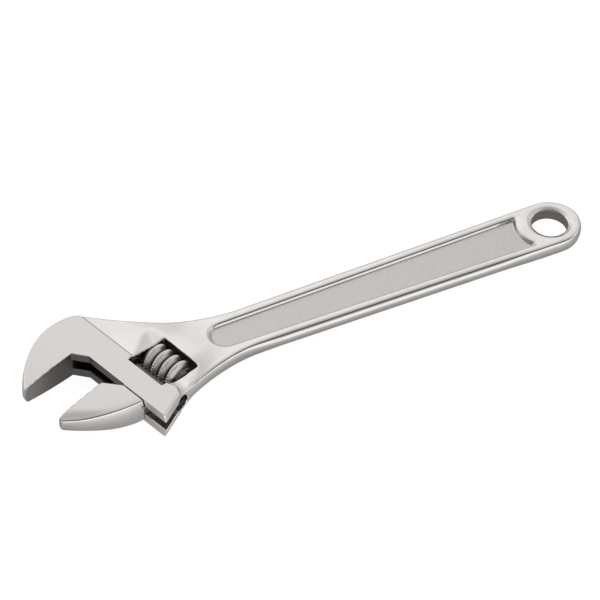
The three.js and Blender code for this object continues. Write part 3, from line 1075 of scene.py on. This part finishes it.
def edge_wear(field, places):
    """1 on outer edges: there the field a little under the surface is less than that point's
    distance below it.
    """
    reach = 0.45
    normal = gradient(field, places)
    normal /= np.maximum(np.linalg.norm(normal, axis=1, keepdims=True), 1e-6)
    under = places - normal * reach
    shallow = -field(*under.T) / reach
    return smoothstep(0.93, 0.6, shallow), normal


def is_upright(facing):
    """1 on walls, by how far a face looks up or down."""
    return smoothstep(0.5, 0.3, facing)


def head_masks(along, back, z, facing):
    """Masks of the ground band, of the painted shade in the crease behind it and of the slot, bore
    and window.
    """
    high = np.abs(z)
    edge = band_back(along)
    head = jaw_half(back, HEAD_HALF, FIXED_TIP_HALF, FIXED_BOW)
    on_top = smoothstep(0.5, 0.2, np.abs(high - head))
    ground = smoothstep(0.9, 0.97, facing) * on_top * smoothstep(edge + 0.3, edge - 0.2, back)
    # A thin line of painted shade in the crease just behind the ground band's edge.
    crease_shade_offset = 0.25
    crease_shade_width = 0.22
    crease_shade = np.exp(-((back - edge - crease_shade_offset) / crease_shade_width) ** 2)
    crease_shade = (crease_shade * smoothstep(0.3, 0.6, facing)
            * smoothstep(HEAD_HALF - 1.4, HEAD_HALF - 1.0, high))

    slot_half = WEB_HALF + GAP
    in_slot = smoothstep(slot_half + 0.3, slot_half + 0.05, high) * (back < BAND_EDGE)
    in_bore = smoothstep(RACK_BORE_RADIUS + 0.3, RACK_BORE_RADIUS + 0.05,
                         np.hypot(back - RACK_LINE, z))
    inside = np.maximum(in_slot * (back > 0.2), in_bore) * (along > 0.1)
    window = np.maximum(
        np.maximum(WINDOW["start"] - along, along - WINDOW["end"]),
        np.maximum(WINDOW["near"] - back, back - WINDOW["far"]))
    in_window = smoothstep(0.35, 0.15, np.abs(window)) * is_upright(facing)
    return ground, crease_shade, inside, in_window


def window_edge(along, back, facing):
    """The window's edge beside the ground band, painted dark: partly bare machined steel, partly
    painted shade.
    """
    edge = smoothstep(0.5, 0.2, np.abs(back - WINDOW["near"])) * smoothstep(0.97, 0.9, facing)
    return edge * (smoothstep(WINDOW["start"] - 1.0, WINDOW["start"] - 0.2, along)
                   * smoothstep(WINDOW["end"] + 0.35, WINDOW["end"] - 0.45, along))


def paint_body(piece, places):
    x, y, z = places.T
    along, back = in_head(x, y)
    wear, normal = edge_wear(body_field, places)
    facing = np.abs(normal[:, 2])
    upright = is_upright(facing)
    ground, crease_shade, inside, in_window = head_masks(along, back, z, facing)
    near_edge = window_edge(along, back, facing)
    # Gripping faces, throat facet and slide face: painted darker as shade from the gap between the
    # jaws, less so towards the tips.
    grip = smoothstep(0.35, 0.15, np.abs(gap_field(along, back))) * upright
    grip = grip * smoothstep(27, 26, along) * (1 - 0.45 * smoothstep(-6, -JAW_DEPTH, back))
    in_eye = smoothstep(EYE_RADIUS + 0.6, EYE_RADIUS + 0.2, np.hypot(x, y)) * upright
    # Painted shade inside the slot and bore, fading out between along 34 and 40.
    open_end = inside * (1 - 0.95 * smoothstep(34, 40, along))
    # Painted shade far into the slot and bore, fading out between along 24 and 30, and on the
    # window's walls.
    recess_shade = np.maximum(inside * smoothstep(30, 24, along), in_window)

    in_panel = smoothstep(0.1, -0.5, panel_field(x, y))
    cast_top = RIM_HALF - PANEL_DEPTH + 0.4 + smoothstep(-22, -17, x)
    in_panel = in_panel * smoothstep(cast_top + 0.2, cast_top - 0.2, np.abs(z))

    set_mask(piece, "ground", ground)
    set_mask(piece, "cast", in_panel)
    set_mask(piece, "machined_and_shade", np.maximum.reduce([grip, near_edge, 0.8 * in_eye, open_end]))
    set_mask(piece, "recess_shade", recess_shade)
    set_mask(piece, "wear", wear * (1 - np.maximum(recess_shade, near_edge)))
    set_mask(piece, "crease_shade", crease_shade)


def paint_jaw(piece, places):
    along, back, z = places.T
    wear, normal = edge_wear(jaw_field, places)
    facing = np.abs(normal[:, 2])
    above = smoothstep(SHOULDER + 0.3, SHOULDER, back)
    # The jaw's gripping face: machined steel, painted darker also as shade from the gap.
    grip = smoothstep(0.3, 0.1, along) * is_upright(facing)
    set_mask(piece, "ground", smoothstep(0.85, 0.95, facing) * above)
    set_mask(piece, "cast", 0 * along)
    set_mask(piece, "machined_and_shade", grip * above)
    # The tongue and rack below the shoulder are painted nearly black as shade.
    set_mask(piece, "recess_shade", 0.86 * (1 - above))
    set_mask(piece, "crease_shade", 0 * along)
    set_mask(piece, "wear", wear * above)


def paint_worm(piece):
    places = np.empty(len(piece.data.vertices) * 3, np.float32)
    piece.data.vertices.foreach_get("co", places)
    places = places.reshape(-1, 3) / MM
    centre = np.array([*(throat_in_row + WORM_LINE * BACK), MIDDLE])
    arm = places - centre
    axis = np.array([OPEN[0], OPEN[1], 0])
    arm -= (arm @ axis)[:, None] * axis
    radius = np.linalg.norm(arm, axis=1)
    # Painted shade, growing towards the thread's root.
    set_mask(piece, "recess_shade", smoothstep(WORM_RADIUS - 1.4, WORM_ROOT + 0.2, radius))


body, body_places = make_body()
jaw, jaw_places = make_jaw()
worm = make_worm()
pin = make_pin()
spring = make_spring()
paint_body(body, body_places)
paint_jaw(jaw, jaw_places)
paint_worm(worm)

forged = steel_material("satin_steel")
turned = turned_material("turned_steel", (1.0, 0.98, 0.965), (0.82, 0.80, 0.785), 0.44)
wire = turned_material("spring_steel", (0.36, 0.35, 0.34), (0.24, 0.23, 0.22), 0.4)
body.data.materials.append(forged)
jaw.data.materials.append(forged)
worm.data.materials.append(turned)
pin.data.materials.append(turned)
spring.data.materials.append(wire)

# ---- Floor and light ----


def make_floor():
    size = 6.0  # metres from its middle to its edges
    mesh = bpy.data.meshes.new("floor")
    corners = [(-size, -size, 0), (size, -size, 0), (size, size, 0), (-size, size, 0)]
    mesh.from_pydata(corners, [], [(0, 1, 2, 3)])
    floor = bpy.data.objects.new("floor", mesh)
    floor.location.z = cad_low.z
    bpy.context.scene.collection.objects.link(floor)
    m = Surface("floor_paper", metallic=0.0)
    coord = m.add("ShaderNodeTexCoord")
    split = m.add("ShaderNodeSeparateXYZ")
    m.link(coord.outputs["Object"], split.inputs["Vector"])
    aside = m.math("ABSOLUTE", m.math("SUBTRACT", split.outputs["Y"], float(EYE[1]) * MM))
    fibre = m.noise(coord.outputs["Object"], 900.0, 3.0)
    m.link(m.span(fibre, 0.30, 0.34), m.shader.inputs["Base Color"])
    m.shader.inputs["Roughness"].default_value = 0.9
    m.shader.inputs["Specular IOR Level"].default_value = 0.0
    m.shader.inputs["Emission Color"].default_value = (1, 1, 1, 1)

    # The camera sees it nearly white. To the wrench it glows dim near by, as painted shade of the
    # wrench on it, and bright further off.
    seen = m.add("ShaderNodeLightPath").outputs["Is Camera Ray"]
    glow = m.span(aside, 0.20, 0.95, 0.015, 0.09)
    m.link(m.blend(seen, glow, 0.92), m.shader.inputs["Emission Strength"])
    floor.data.materials.append(m.material)


def make_world():
    """A plain studio: a broad white sheet beyond the wrench, black cloth above and in front
    of it down to a bright strip at the horizon, and a soft grey patch high on the right."""
    sheet_lies = (0.46, 0.89, 0)
    grey_patch_lies = (0.72, 0.22, 0.66)
    patch_level = 0.72
    patch_inner = math.radians(12)
    patch_outer = math.radians(32)
    # Brightness by the angle from the horizon beyond the wrench, up and over, in degrees.
    levels = [(0, 0.42), (15, 0.55), (30, 0.80), (43, 1.0), (60, 0.93), (75, 0.78), (90, 0.64),
              (103, 0.42), (114, 0.15), (144, 0.09), (155, 0.45), (163, 1.05), (180, 1.10)]
    world = bpy.data.worlds.new("studio")
    world.use_nodes = True
    w = Nodes(world.node_tree)
    output = w.add("ShaderNodeOutputWorld")
    background = w.add("ShaderNodeBackground")
    direction = w.add("ShaderNodeTexCoord").outputs["Generated"]
    split = w.add("ShaderNodeSeparateXYZ")
    w.link(direction, split.inputs["Vector"])
    angle = w.math("ARCTAN2", split.outputs["Z"], w.along(direction, sheet_lies))
    turn = w.span(angle, 0.0, 1.0, 0.0, math.pi)
    ramp = w.add("ShaderNodeValToRGB")
    ramp.color_ramp.interpolation = "EASE"
    stops = ramp.color_ramp.elements
    while len(stops) < len(levels):
        stops.new(0.5)
    for stop, (degrees, level) in zip(stops, levels):
        stop.position = degrees / 180
        stop.color = (level, level * 0.995, level * 0.985, 1)
    w.link(turn, ramp.inputs["Fac"])
    w.link(ramp.outputs["Color"], background.inputs["Color"])
    beside = w.along(direction, grey_patch_lies)
    patch = w.span(beside, 1.0, patch_level, math.cos(patch_outer), math.cos(patch_inner),
                   "SMOOTHSTEP")
    w.link(patch, background.inputs["Strength"])
    w.link(background.outputs[0], output.inputs[0])
    bpy.context.scene.world = world


make_floor()
make_world()
bpy.context.scene.view_settings.view_transform = "Standard"
bpy.context.scene.view_settings.look = "None"
